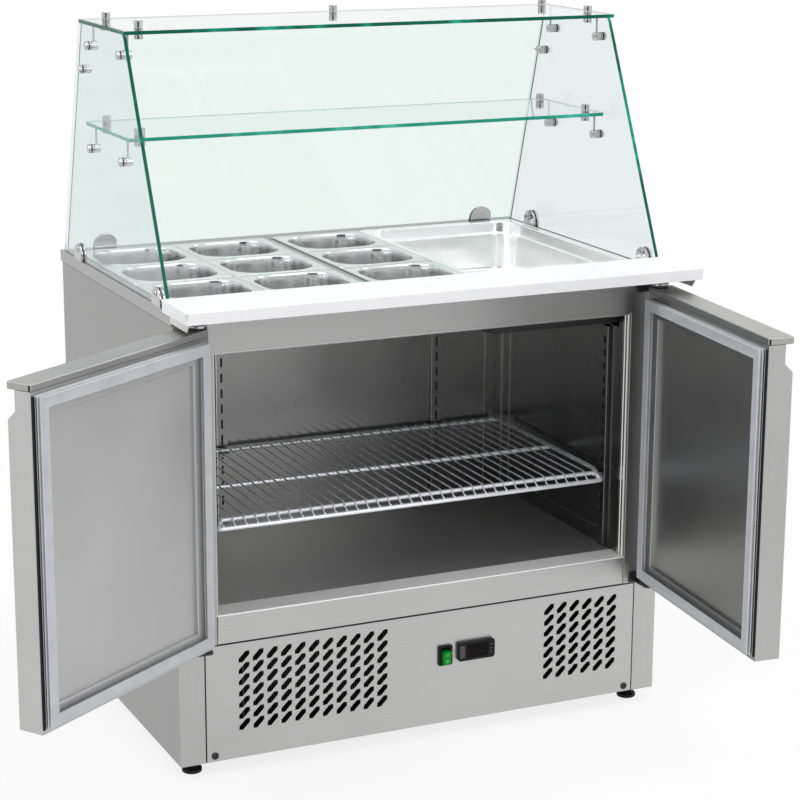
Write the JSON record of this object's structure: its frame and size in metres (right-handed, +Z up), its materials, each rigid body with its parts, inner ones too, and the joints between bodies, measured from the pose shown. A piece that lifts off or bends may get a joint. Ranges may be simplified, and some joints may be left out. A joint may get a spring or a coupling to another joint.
{
  "type": "refrigerated preparation counter",
  "caption": "Refrigerated stainless preparation counter with hinged doors, a well of lift-out food pans, a cutting board on the front and a raked glass stand with shelves.",
  "frame": {"origin": "on the floor, under the centre of the cabinet and its four feet", "axes": "+Z up, -Y towards the person who opens the doors, +X to that person's right"},
  "size_m": [1.2442, 1.0508, 1.228],
  "materials": {
    "outer_steel": "brushed",
    "inner_steel": "satin",
    "worktop_steel": "satin",
    "pan_steel": "polished",
    "bright_trim": "satin",
    "foam": "matte",
    "gasket_vinyl": "satin",
    "black_plastic": "satin",
    "black_paint": "satin",
    "cartridge_plastic": "satin",
    "dark_window": "gloss",
    "stand_glass": "clear",
    "clamp_chrome": "polished",
    "shelf_coating": "satin",
    "board_plastic": "matte",
    "green_rocker": "gloss",
    "machine_paint": "satin",
    "fin_aluminium": "satin",
    "galvanised": "matte"
  },
  "bodies": {
    "cabinet": {"left_side_panel": "outer_steel", "right_side_panel": "outer_steel", "back_panel": "galvanised", "base_pan": "galvanised", "worktop": "worktop_steel", "front_frame": "outer_steel", "bottom_rail": "outer_steel", "corner_posts": "outer_steel", "lower_panel": "outer_steel", "panel_screws": "black_plastic", "feet": "black_plastic", "switch_bezel": "black_plastic", "controller": "black_plastic", "controller_window": "dark_window", "liner": "inner_steel", "insulation": "foam", "breaker_strip": "bright_trim", "pilasters": "inner_steel", "shelf_clips": "inner_steel", "hinge_brackets": "black_paint", "hinge_bolts": "black_paint", "hinge_pins": "cartridge_plastic", "left_side_glass": "stand_glass", "right_side_glass": "stand_glass", "back_glass": "stand_glass", "top_shelf": "stand_glass", "middle_shelf": "stand_glass", "half_round_clamps": "clamp_chrome", "through_clamps": "clamp_chrome", "standoffs": "clamp_chrome", "divider_bars": "worktop_steel", "board_brackets": "worktop_steel", "compressor": "machine_paint", "condenser": "fin_aluminium", "fan_motor": "machine_paint"},
    "left_door": {"left_door_skin": "outer_steel", "left_door_core": "foam", "left_door_inner_panel": "inner_steel", "left_door_gasket": "gasket_vinyl", "left_door_cap": "outer_steel"},
    "right_door": {"right_door_skin": "outer_steel", "right_door_core": "foam", "right_door_inner_panel": "inner_steel", "right_door_gasket": "gasket_vinyl", "right_door_cap": "outer_steel"},
    "wire_shelf": {"wire_shelf": "shelf_coating"},
    "small_pan_1": {"small_pan_1": "pan_steel"},
    "small_pan_2": {"small_pan_2": "pan_steel"},
    "small_pan_3": {"small_pan_3": "pan_steel"},
    "small_pan_4": {"small_pan_4": "pan_steel"},
    "small_pan_5": {"small_pan_5": "pan_steel"},
    "small_pan_6": {"small_pan_6": "pan_steel"},
    "small_pan_7": {"small_pan_7": "pan_steel"},
    "small_pan_8": {"small_pan_8": "pan_steel"},
    "small_pan_9": {"small_pan_9": "pan_steel"},
    "large_pan": {"large_pan": "pan_steel"},
    "cutting_board": {"cutting_board": "board_plastic"},
    "rocker_switch": {"rocker_switch": "green_rocker"},
    "fan": {"fan_blades": "machine_paint"}
  },
  "joints": [
    {"name": "left_door_hinge", "type": "hinge", "parent": "cabinet", "child": "left_door", "pos_m": [-0.42, -0.33, 0.5], "axis": [0, 0, -1], "range_deg": [-146, 4]},
    {"name": "right_door_hinge", "type": "hinge", "parent": "cabinet", "child": "right_door", "pos_m": [0.42, -0.33, 0.5], "axis": [0, 0, 1], "range_deg": [-85, 65]},
    {"name": "wire_shelf_slide", "type": "slide", "parent": "cabinet", "child": "wire_shelf", "axis": [0, -1, 0], "range_m": [0, 0.28]},
    {"name": "small_pan_1_lift", "type": "slide", "parent": "cabinet", "child": "small_pan_1", "axis": [0, 0, 1], "range_m": [0, 0.011]},
    {"name": "small_pan_2_lift", "type": "slide", "parent": "cabinet", "child": "small_pan_2", "axis": [0, 0, 1], "range_m": [0, 0.12]},
    {"name": "small_pan_3_lift", "type": "slide", "parent": "cabinet", "child": "small_pan_3", "axis": [0, 0, 1], "range_m": [0, 0.12]},
    {"name": "small_pan_4_lift", "type": "slide", "parent": "cabinet", "child": "small_pan_4", "axis": [0, 0, 1], "range_m": [0, 0.025]},
    {"name": "small_pan_5_lift", "type": "slide", "parent": "cabinet", "child": "small_pan_5", "axis": [0, 0, 1], "range_m": [0, 0.12]},
    {"name": "small_pan_6_lift", "type": "slide", "parent": "cabinet", "child": "small_pan_6", "axis": [0, 0, 1], "range_m": [0, 0.12]},
    {"name": "small_pan_7_lift", "type": "slide", "parent": "cabinet", "child": "small_pan_7", "axis": [0, 0, 1], "range_m": [0, 0.025]},
    {"name": "small_pan_8_lift", "type": "slide", "parent": "cabinet", "child": "small_pan_8", "axis": [0, 0, 1], "range_m": [0, 0.12]},
    {"name": "small_pan_9_lift", "type": "slide", "parent": "cabinet", "child": "small_pan_9", "axis": [0, 0, 1], "range_m": [0, 0.12]},
    {"name": "large_pan_lift", "type": "slide", "parent": "cabinet", "child": "large_pan", "axis": [0, 0, 1], "range_m": [0, 0.011]},
    {"name": "cutting_board_lift", "type": "slide", "parent": "cabinet", "child": "cutting_board", "axis": [0, 0, 1], "range_m": [0, 0.15]},
    {"name": "rocker_tip", "type": "hinge", "parent": "cabinet", "child": "rocker_switch", "pos_m": [0.032, -0.29267, 0.15], "axis": [-1, 0, 0], "range_deg": [0, 16]},
    {"name": "fan_spin", "type": "hinge", "parent": "cabinet", "child": "fan", "pos_m": [-0.2, -0.18, 0.102], "axis": [0, 1, 0], "continuous": true}
  ]
}
